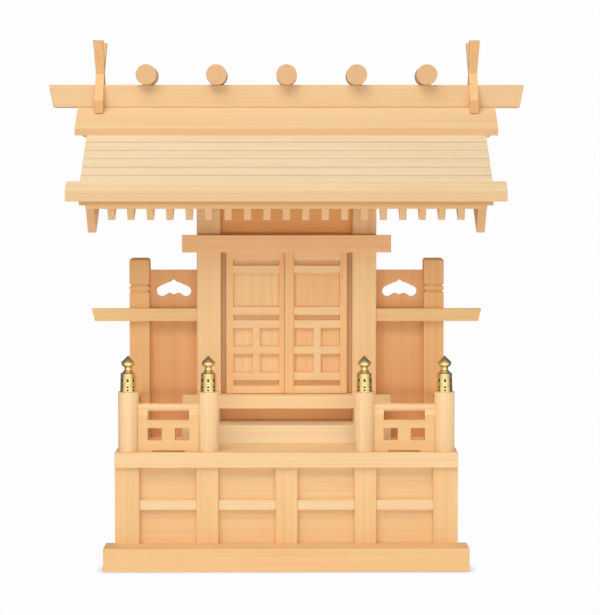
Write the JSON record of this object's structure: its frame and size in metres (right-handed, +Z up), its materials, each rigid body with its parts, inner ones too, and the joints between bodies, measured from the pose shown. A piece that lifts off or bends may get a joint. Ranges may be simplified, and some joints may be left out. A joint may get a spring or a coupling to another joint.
{
  "type": "household altar shrine",
  "caption": "Small wooden household altar: a gabled cella with outward-swinging double doors and side wings on a panelled base with railings and brass post caps.",
  "frame": {"origin": "under the middle of the bounding box, on the surface that the shrine stands on", "axes": "+Z up, -Y towards the front with the doors, +X to the right seen from the front"},
  "size_m": [0.401, 0.196, 0.4258],
  "materials": {
    "hinoki": "bare planed cypress",
    "brass": "polished"
  },
  "bodies": {
    "shrine": {"base_front_bar": "hinoki", "base_front_posts": "hinoki", "base_front_rails": "hinoki", "base_front_panel": "hinoki", "base_sides": "hinoki", "base_back": "hinoki", "floor_board": "hinoki", "railing_posts": "hinoki", "finials": "brass", "front_railings": "hinoki", "side_railings": "hinoki", "front_handrails": "hinoki", "side_handrails": "hinoki", "step_block": "hinoki", "front_columns": "hinoki", "rear_columns": "hinoki", "sill": "hinoki", "lintel": "hinoki", "riser_board": "hinoki", "cella_floor": "hinoki", "door_jambs": "hinoki", "front_wall": "hinoki", "back_wall": "hinoki", "side_walls": "hinoki", "purlins": "hinoki", "wing_posts": "hinoki", "wing_panels": "hinoki", "wing_rails": "hinoki", "rafters_front": "hinoki", "rafters_rear": "hinoki", "bargeboards_front": "hinoki", "bargeboards_rear": "hinoki", "roof_deck_front": "hinoki", "roof_deck_rear": "hinoki", "shingles_front": "hinoki", "shingles_rear": "hinoki", "eave_planks": "hinoki", "ridge_caps": "hinoki", "ridge_beam": "hinoki", "billets": "hinoki", "crossed_boards": "hinoki"},
    "left_door": {"door_left_frame": "hinoki", "door_left_panel": "hinoki"},
    "right_door": {"door_right_frame": "hinoki", "door_right_panel": "hinoki"}
  },
  "joints": [
    {"name": "left_door_swing", "type": "hinge", "parent": "shrine", "child": "left_door", "pos_m": [-0.048, 0.0025, 0.19], "axis": [0, 0, -1], "range_deg": [0, 90]},
    {"name": "right_door_swing", "type": "hinge", "parent": "shrine", "child": "right_door", "pos_m": [0.048, 0.0025, 0.19], "axis": [0, 0, 1], "range_deg": [0, 90]}
  ]
}
